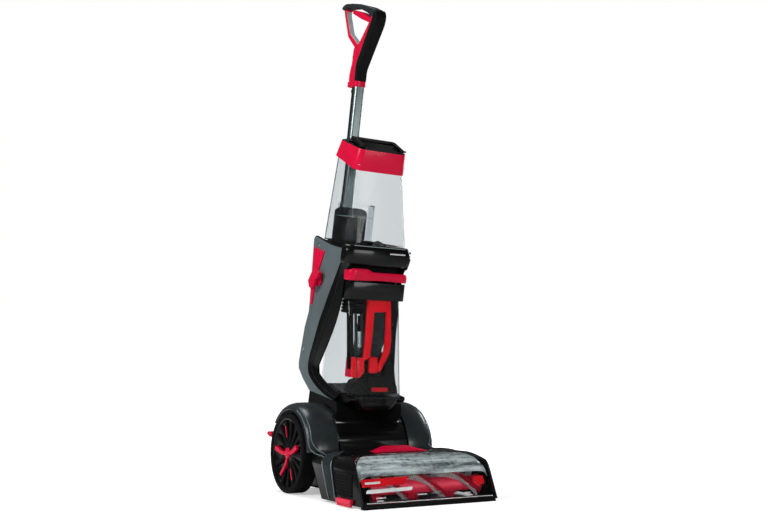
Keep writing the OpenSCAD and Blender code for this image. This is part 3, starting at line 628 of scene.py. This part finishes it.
def dirty_tank():
    """Latching handle with its wavy top edge, and the works seen through the clear wall."""
    rings = []
    plan = [p for p in rounded_rect(72.6, -45.8, -4, 15, 8) if p[1] < -24]
    plan = sorted(plan, key=lambda p: (p[0], -p[1] if p[0] < 0 else p[1]))
    path = [Vector(p) for p in plan]
    path = [Vector((-72.6, -22))] + path + [Vector((72.6, -22))]
    dense = []
    for a, b in zip(path, path[1:]):
        n = max(1, int((b - a).length / 5))
        dense += [a.lerp(b, k / n) for k in range(n)]
    dense.append(path[-1])
    for i, p in enumerate(dense):
        along = (dense[min(i + 1, len(dense) - 1)] - dense[max(i - 1, 0)]).normalized()
        inward = Vector((-along.y, along.x))
        wave = 1 / (1 + math.exp((p.x + 22) / 2.2))
        end = max(0, (abs(p.x) - 64) / 9)
        high = 393.5 + 6 * wave - 4 * end
        low = 374 + 2.2 * math.exp(-((p.x - 8) / 46) ** 2) - 0.8 * end
        mid = (high + low) / 2
        section = [(0.9, low + 0.6), (0, low + 2.5), (-0.2, mid), (0, high - 2.6), (1, high - 0.6),
                   (3, high), (7, high - 0.4), (7, low), (3, low)]
        rings.append([up(p.x + inward.x * d, p.y + inward.y * d, u) for d, u in section])
    loft("tank_handle_band", rings, "red", "dirty_tank_handle", stands_for=["dirty_tank_handle"],
         slot="red_plastic", angle=50)

    left = flow([(-16.5, 334), (-18, 308), (-23, 254), (-30, 208)], 4)
    inner_left = flow([(-1, 309), (-6, 262), (-12, 216)], 4)
    right = flow([(40, 334), (39.5, 274), (36, 229), (11, 186)], 4)
    inner_right = flow([(29, 310), (27.5, 270), (21.5, 229), (5, 193)], 4)
    loop = left + inner_left[::-1] + inner_right + right[::-1]
    wall_prism("float_loop", [tuple(p) for p in loop], 7, 7, "inner_red", "float_cage", soft=1.3,
               stands_for=["float_cage"], slot="red_plastic")
    duct = [(0, 308), (28, 308), (27, 270), (21, 231), (5, 196), (-11, 214), (-5, 262)]
    wall_prism("duct", fillet(duct, 3), 15, 18, "dark_grey", "separator", soft=1.5)
    for k in range(6):
        wall_prism("duct_rib_%d" % k, ribbon([(3 - k * 2.2, 300 - 16 * k), (26 - k * 1.4, 297 - 13 * k)],
                                             0.7, 0.7), 13.6, 2, "dark_grey", "separator", soft=0.3)
    wall_prism("post_left", fillet([(-61, 304), (-49, 304), (-49, 214), (-57, 190), (-61, 190)], 2), 12,
               9, "matt_black", "separator", soft=1.0)
    wall_prism("post_right", fillet([(42, 333), (61, 333), (52, 262), (47, 190), (52, 146), (33, 146),
                                     (25, 190), (37, 240), (43, 280)], 6), 8, 10, "gloss_black",
               "separator", soft=1.2)
    wall_prism("float_guard", fillet([(-55, 216), (-33, 213), (-26, 218), (-26, 186), (-38, 174),
                                      (-55, 175)], 3), 9, 9, "inner_red", "float_cage", soft=1.4,
               slot="red_plastic")
    wall_prism("works_back", fillet([(-44, 150), (46, 150), (50, 196), (36, 225), (-30, 222), (-44, 200)],
                                    8), 22, 6, "matt_black", "separator", soft=1.0)
    wall_prism("works_base", fillet([(-60, 141), (58, 141), (55, 160), (30, 176), (-20, 170), (-48, 166)],
                                    6), 14, 26, "matt_black", "separator", soft=1.2)
    fins = ((301, 20), (302, 24), (305.5, 24), (306.5, 20))
    stack = [(u + 7 * k, r) for k in range(5) for u, r in fins]
    rings = [[up(x, v, u) for x, v in circle(r, 40, (-34, -2))] for u, r in stack]
    loft("separator_stack", rings, "matt_black", "separator", stands_for=["separator"],
         slot="matt_plastic", angle=28)
    pipes = ((-44, 3.2, "dark_grey", 168, 303), (-36, 4.4, "liner_grey_and_highlight", 236, 268),
             (-29, 2.6, "dark_grey", 210, 303), (-36, 3, "matt_black", 268, 300))
    for k, (x, r, look, low, high) in enumerate(pipes):
        rings = [[front_face(a, u, deep) for a, deep in circle(r, 20, (x, 12))]
                 for u in (low, low + 1, high - 1, high)]
        loft("tank_pipe_%d" % k, rings, look, "separator")
    wall_prism("catch", fillet([(-13, 216), (7, 216), (6, 184), (-13, 184)], 3), 9, 8, "inner_red",
               "float_cage", soft=1.2, slot="red_plastic")
    wall_prism("badge_plate", fillet([(-18, 178), (33, 178), (33, 145), (-18, 145)], 3), 2.7, 3,
               "gloss_black", "dirty_tank_shell", soft=0.6)
    wall_prism("badge_bar", fillet([(-12, 156), (27, 156), (27, 148), (-12, 148)], 1.5), 2.2, 1.2,
               "red_print", "dirty_tank_shell", soft=0.2)


# ---- Clean tank --------------------------------------------------------------

def clean_tank():
    """A fine moulded line round the socket's bay in the tank's floor."""
    half = [(37.2, 106), (37.2, 82), (30, 77.6)]
    bay = [(-x, v) for x, v in half] + half[::-1]
    tube("bay_line", [up(x, v, 505) for x, v in bay], 0.5, "liner_grey_and_highlight", "clean_tank_shell")


# ---- Wheels ------------------------------------------------------------------

TREAD = 1.3   # depth of the grooves, cut by turns on one ring and the next


def wheel(side, label):
    """Treaded tyre, dark spokes and the red three-armed insert."""
    hub, tyre, insert = ("wheel_%s_%s" % (label, part) for part in ("hub", "tyre", "insert"))

    def at(r, a, x):
        return ft(side * x, r * math.cos(a), AXLE_HIGH + r * math.sin(a))

    profile = [(72.5, 118.4), (79, 118.2), (81, 119.2), (81.9, 121.5), (81.9, 128), (81.9, 136),
               (81.9, 145), (81.9, 151), (81.2, 153.2), (79.6, 154.9), (77, 155.4), (73.5, 155.2),
               (72, 153.8)]
    rings = []
    for k in range(192):
        a = k * math.tau / 192
        cut = [r - TREAD if r > 81 and k % 4 == i % 2 * 2 else r for i, (r, x) in enumerate(profile)]
        rings.append([at(r, a, x) for r, (_, x) in zip(cut, profile)])
    loft(tyre + "_tread", rings, "tyre", tyre, closed=True, stands_for=[tyre], slot="tyre", angle=40)
    dish = [(4.3, 128), (4.3, 146), (9, 149.5), (16, 149), (26, 145.5), (44, 143.2), (60, 144.2),
            (67, 147), (69.5, 151.5), (72.6, 152.6), (72.6, 121), (68, 121), (66, 141), (30, 140),
            (13, 128)]
    rings = [[at(r, k * math.tau / 128, x) for r, x in dish] for k in range(128)]
    loft(hub + "_dish", rings, "gloss_black", hub, closed=True, stands_for=[hub], slot="matt_plastic",
         angle=30)
    spokes = []
    for degrees in (30, 52, 76, 100, 125, 145, 183, 206, 228, 249, 272, 296, 338):
        a = math.radians(degrees)
        ends = ((13, 2.6, 148.5, 143), (40, 3.4, 148.6, 141.5), (68, 5.2, 150.6, 142))
        ring = []
        for r, w, high, low in ends:
            spread = w / r
            ring.append([at(r, a - spread, high - 1.2), at(r, a - spread * 0.55, high),
                         at(r, a + spread * 0.55, high), at(r, a + spread, high - 1.2),
                         at(r, a + spread, low), at(r, a - spread, low)])
        verts = [p for one in ring for p in one]
        faces = [(r * 6 + i, r * 6 + (i + 1) % 6, r * 6 + 6 + (i + 1) % 6, r * 6 + 6 + i)
                 for r in range(2) for i in range(6)] + [tuple(range(6)), tuple(range(12, 18))]
        spokes.append((verts, faces))
    piece(hub + "_spokes", *merged(spokes), "matt_black", hub, angle=25)

    def arm(name, reach, tip, middle, turn=0.0):
        path = []
        for k in range(5):
            r = 5 + (reach - 5) * k / 4
            a = math.radians(tip + turn * (1 - k / 4) ** 1.5)
            path.append((r * math.cos(a), r * math.sin(a)))
        half = [3.6, 3.8, middle * 0.8, middle, middle * 0.92]
        full = flow(path, 4)
        widths = [half[min(4, k // 4)] + (half[min(4, k // 4 + 1)] - half[min(4, k // 4)]) * (k % 4) / 4
                  for k in range(len(full))]
        prism(name, ribbon(full, widths, widths), lambda y, z: ft(side * 146, y, AXLE_HIGH + z),
              (side * 6.8, 0, 0), "red", insert, soft=1.2, slot="red_plastic")

    arm(insert + "_back", 62, 8, 5.2, -16)
    arm(insert + "_front", 47, 162, 5.4, 20)
    arm(insert + "_low", 57, -54, 3.6, -34)
    boss = [(0.2, 151), (0.2, 153.8), (5, 153.7), (8.5, 153.2), (10.5, 152.4), (11.5, 150.5), (11.5, 146),
            (4.3, 146)]
    rings = [[at(r, k * math.tau / 48, x) for r, x in boss] for k in range(48)]
    loft(insert + "_boss", rings, "red", insert, closed=True, stands_for=[insert], slot="red_plastic")
    for k, degrees in enumerate((76, 249)):
        a = math.radians(degrees)
        ends = [(r * math.cos(a), r * math.sin(a)) for r in (33, 57)]
        prism("%s_slot_%d" % (insert, k), ribbon(ends, [1.1, 2.2], [1.1, 2.2]),
              lambda y, z: ft(side * 147, y, AXLE_HIGH + z), (side * 3.2, 0, 0), "red", insert, soft=0.4)


# ---- Foot --------------------------------------------------------------------

NOSE, CREASE = (-324, 5), (-301, 59)
FOOT_TOP = 92
ARCH = (CREASE, (-291, 77), (-252, FOOT_TOP))
BRUSH_X = (-112, 138)
BRUSH_TIP = 25.3
ROW_PITCH = 166.0   # length in which a bristle row turns once


def scatter(phase, scale):
    """A repeatable number from 0 to 1."""
    value = math.sin(phase) * scale
    return value - math.floor(value)


def brush(node, phase):
    """A core with two dense red helical rows and two pale ones, all of fine bristle tufts; the pale rows' white is
    a painted glint along the brush.
    """
    axis = Vector(joints[node + "_spin"]["pos_m"])
    y, z = round((axis.y - AXLE.y) / MM, 3), round(axis.z / MM, 3)
    core = ((-116, 4), (-116, 15), (-112, 16), (-111, 13.2), (137, 13.2), (138, 16), (142, 15), (142, 4))
    rings = [[ft(x, a, b) for a, b in circle(r, 32, (y, z))] for x, r in core]
    loft(node + "_core", rings, "bristle", node, slot="bristle", stands_for=[node])

    def tufts(start, spacing, spread, fibres, seed):
        rows = []
        count = int((BRUSH_X[1] - BRUSH_X[0] - 8) / spacing)
        for i in range(count):
            x = BRUSH_X[0] + 4 + i * spacing
            a = start + (x - BRUSH_X[0]) / ROW_PITCH * math.tau
            for f in range(fibres):
                wob = scatter(seed + i * 12.9898 + f * 78.233, 43758.5453)
                wob2 = scatter(seed * 2 + i * 39.346 + f * 11.135, 24634.6345)
                da = (f / max(1, fibres - 1) - 0.5) * spread + (wob - 0.5) * 0.06
                dx = (wob2 - 0.5) * spacing * 0.9
                r1 = BRUSH_TIP - wob * 1.4
                verts, w = [], 0.55
                for r, s, shift in ((12.5, 1.0, 0.4), (r1, 0.55, 1.0)):
                    for t in range(3):
                        b = t * math.tau / 3
                        ang = a + da * shift
                        verts.append(ft(x + dx * shift + w * s * math.cos(b),
                                        y + r * math.cos(ang) - w * s * math.sin(b) * math.sin(ang),
                                        z + r * math.sin(ang) + w * s * math.sin(b) * math.cos(ang)))
                rows.append((verts, [(0, 1, 4, 3), (1, 2, 5, 4), (2, 0, 3, 5), (3, 4, 5)]))
        return merged(rows)

    for k in range(2):
        start = phase + k * math.pi
        piece("%s_red_row_%d" % (node, k), *tufts(start, 2.6, 0.42, 9, 3.1 + k), "bristle", node,
              angle=60)
        # Pale rows: their white is a painted glint along the brush.
        piece("%s_glint_row_%d" % (node, k), *tufts(start + 0.55, 3.0, 0.2, 8, 7.7 + k), "pale_bristle",
              node, angle=60)


def window_point(x, z, out):
    """A place on the window's flat front, standing out by a hair."""
    t = (z - NOSE[1]) / (CREASE[1] - NOSE[1])
    return ft(x, NOSE[0] + t * (CREASE[0] - NOSE[0]) - out, z)


def arch_height(y):
    """Height of the window's upper face at y."""
    for (y0, z0), (y1, z1) in zip(ARCH, ARCH[1:]):
        if y < y1:
            return z0 + (y - y0) / (y1 - y0) * (z1 - z0)
    return FOOT_TOP


def window():
    """Frosted liner under the window's arch, and plain printed shapes on its front."""
    rows = []
    for i in range(15):
        y = -300 + 76 * i / 14
        reach = 143 * math.sqrt(max(0.0, 1 - ((y + 301) / 79) ** 2))
        row = []
        for k in range(41):
            x = -reach + 2 * reach * k / 40
            drop = max(0.0, abs(x) - 124)
            corner = 22 - math.sqrt(max(0.0, 22 ** 2 - min(21.5, drop) ** 2))
            row.append(ft(x, y, arch_height(y) - 3.6 - corner))
        rows.append(row)
    verts = [p for row in rows for p in row]
    lower = [p - Vector((0, 0, 0.8 * MM)) for p in verts]
    n = len(verts)
    faces = []
    for i in range(14):
        for k in range(40):
            a = i * 41 + k
            faces += [(a, a + 1, a + 42, a + 41), (n + a, n + a + 41, n + a + 42, n + a + 1)]
    piece("window_arch_liner", verts + lower, faces, "frost", "nozzle_window", angle=50)

    def printed(name, points, look, out=0.25):
        prism(name, points, lambda x, z: window_point(x, z, out), (0, 0.2, 0), look, "nozzle_window")

    printed("print_red_band", fillet([(-143, 52), (-40, 54), (-52, 41), (-143, 38.5)], 2), "red_print")
    printed("print_red_plate", fillet([(104, 48), (128, 48), (128, 33), (104, 33)], 2), "red_print")
    printed("print_white_bar", fillet([(-136, 47), (-104, 47.5), (-104, 44), (-136, 43.5)], 1.4),
            "white_print_and_highlight", 0.45)
    printed("print_white_long", fillet([(-134, 34), (-36, 35.5), (-40, 29.5), (-138, 27.5)], 2.5),
            "white_print_and_highlight")
    dashes = ((-118, -98, 20), (-118, -104, 15), (-30, -8, 22), (76, 90, 20), (76, 86, 15))
    for k, (x0, x1, z) in enumerate(dashes):
        printed("print_dash_%d" % k, [(x0, z), (x1, z), (x1, z - 1.6), (x0, z - 1.6)], "white_print_and_highlight")
    printed("print_base_line", [(-140, 11.5), (140, 11.5), (140, 10.4), (-140, 10.4)], "white_print_and_highlight")


def latch():
    """Red release latch: a raised middle with sloping facets."""
    section = [(-63, 0.6), (-52, 4.2), (-33, 10.6), (-24, 11), (30, 11), (40, 9.4), (55, 4.4), (63, 0.6)]
    rings = []
    slices = ((-212, 0.25, 1.0), (-209, 0.62, 0.99), (-200, 0.8, 0.93), (-193, 1.0, 0.86),
              (-180, 1.0, 0.84), (-176.3, 0.7, 0.86))
    for y, high, wide in slices:
        top = [ft(x * wide, y, FOOT_TOP + max(0.6, z * high)) for x, z in section]
        rings.append(top + [ft(side * 60 * wide, y, FOOT_TOP + 0.4) for side in (1, -1)])
    loft("latch_cap", rings, "red", "nozzle_latch", stands_for=["nozzle_latch"], slot="red_plastic",
         angle=12, soft=0.4)


def foot_details():
    """Twin raised beads down each fender, coloured grey as painted highlight lines, rims on the side straps, and
    the edge of the end caps.
    """
    trees = [BVHTree.FromPolygons([nodes[n].matrix_world @ v.co for v in nodes[n].data.vertices],
                                  [tuple(f.vertices) for f in nodes[n].data.polygons])
             for n in ("fender_left", "fender_right", "foot_cover", "foot_trims")]

    def skin(side, y, z):
        """The outermost point of the foot's side at (y, z)."""
        start = ft(side * 200, y, z)
        hits = [tree.ray_cast(start, -side * SIDE)[0] for tree in trees]
        hits = [hit for hit in hits if hit and side * hit.x > 0.1]
        return max(hits, key=lambda hit: side * hit.x) if hits else None

    for side in (-1, 1):
        for name, r, shift in (("outer", 101, 0), ("inner", 96.5, -4)):
            turns = [math.radians(a) for a in (68, 54, 40, 27, 15)]
            arc = [(-r * math.cos(a), AXLE_HIGH + r * math.sin(a)) for a in turns]
            path = flow(arc + [(-109 - shift, 93 + shift), (-160, 88 + shift)], 6)
            points = [p for p in (skin(side, p.x, p.y) for p in path) if p]
            for _ in range(4):
                inner = [(a.x + b.x + c.x) / 3 for a, b, c in zip(points, points[1:], points[2:])]
                for p, x in zip(points[1:], inner):
                    p.x = x
            # The beads are raised rims; their grey colour is a painted highlight along them.
            tube("bead_%s_%d" % (name, side + 1), points, 1.1, "grey", "foot_cover")
        for name, low, high in (("front", (-221, 8), (-198.5, 79)), ("rear", (-193, 8), (-161.5, 76))):
            points = [skin(side, *Vector(low).lerp(Vector(high), k / 10)) for k in range(11)]
            tube("strap_rim_%s_%d" % (name, side + 1), [p for p in points if p], 1.3, "grey",
                 "foot_trims")
        edge = [(148.2, -323, 9), (148.2, -302, 58), (146.5, -291, 76), (139, -272, 84)]
        tube("cap_edge_%d" % (side + 1), [ft(side * x, y, z) for x, y, z in edge], 0.8, "dark_grey",
             "foot_cover")


# ---- Stage ------------------------------------------------------------------

def stage():
    """Pale floor, even white surroundings and soft lamps."""
    floor = bpy.data.meshes.new("floor")
    far = 9.0
    floor.from_pydata([(-far, -far, 0), (far, -far, 0), (far, far, 0), (-far, far, 0)], [],
                      [(0, 1, 2, 3)])
    m = Nodes("floor")
    m.link("Base Color", m.ramp(m.noise(3, 3), (0.8, 0.8, 0.8), (0.84, 0.84, 0.84)))
    m.set(Roughness=0.7, Emission_Color=(1, 1, 1, 1))
    away = m.add("ShaderNodeVectorMath", [(0, m.place)], operation="LENGTH")
    fade = m.add("ShaderNodeMapRange", [("Value", away.outputs["Value"])],
                 From_Min=0.3, From_Max=2.2, To_Min=0.42, To_Max=1.0)
    glow = m.add("ShaderNodeMath", [(0, m.add("ShaderNodeLightPath").outputs["Is Camera Ray"]),
                                    (1, fade.outputs["Result"])], operation="MULTIPLY")
    m.link("Emission Strength", glow.outputs[0])
    floor.materials.append(m.mat)
    obj = bpy.data.objects.new("floor", floor)
    bpy.context.scene.collection.objects.link(obj)

    world = bpy.data.worlds.new("world")
    bpy.context.scene.world = world
    world.use_nodes = True
    tree = world.node_tree
    path = tree.nodes.new("ShaderNodeLightPath")

    def combine(operation, first, second):
        node = tree.nodes.new("ShaderNodeMath")
        node.operation = operation
        tree.links.new(first, node.inputs[0])
        if isinstance(second, float):
            node.inputs[1].default_value = second
        else:
            tree.links.new(second, node.inputs[1])
        return node.outputs[0]

    bounces = combine("ADD", path.outputs["Diffuse Depth"], path.outputs["Glossy Depth"])
    straight = combine("LESS_THAN", bounces, 0.5)
    through = combine("MULTIPLY", path.outputs["Is Transmission Ray"], straight)
    seen = combine("MAXIMUM", path.outputs["Is Camera Ray"], through)
    dim = tree.nodes["Background"]
    dim.inputs["Color"].default_value = (1, 1, 1, 1)
    level = tree.nodes.new("ShaderNodeMapRange")
    level.inputs["To Min"].default_value, level.inputs["To Max"].default_value = 0.34, 0.1
    tree.links.new(path.outputs["Is Glossy Ray"], level.inputs["Value"])
    tree.links.new(level.outputs["Result"], dim.inputs["Strength"])
    plain = tree.nodes.new("ShaderNodeBackground")
    plain.inputs["Color"].default_value, plain.inputs["Strength"].default_value = (1, 1, 1, 1), 1.0
    mix = tree.nodes.new("ShaderNodeMixShader")
    tree.links.new(seen, mix.inputs[0])
    tree.links.new(dim.outputs[0], mix.inputs[1])
    tree.links.new(plain.outputs[0], mix.inputs[2])
    tree.links.new(mix.outputs[0], tree.nodes["World Output"].inputs["Surface"])

    lamps = [("key", (-2.5, -0.5, 1.7), 1.0, 60), ("front", (0.7, -2.9, 0.5), 0.9, 20),
             ("rim", (2.2, 0.7, 1.2), 0.9, 24), ("top", (-0.2, 0.7, 2.6), 1.0, 22)]
    for name, place, size, power in lamps:
        light = bpy.data.lights.new(name, "AREA")
        light.size, light.energy = size, power
        lamp = bpy.data.objects.new(name, light)
        bpy.context.scene.collection.objects.link(lamp)
        lamp.location = place
        aim = Vector((0, 0.05, 0.45)) - Vector(place)
        lamp.rotation_euler = aim.to_track_quat("-Z", "Y").to_euler()
    bpy.context.scene.view_settings.view_transform = "Standard"


dress_nodes()
handle()
side_frames()
tray_and_toe()
shelf()
dirty_tank()
clean_tank()
wheel(-1, "left")
wheel(1, "right")
brush("front_brush", 0.9)
brush("rear_brush", 2.2)
window()
latch()
foot_details()
stage()
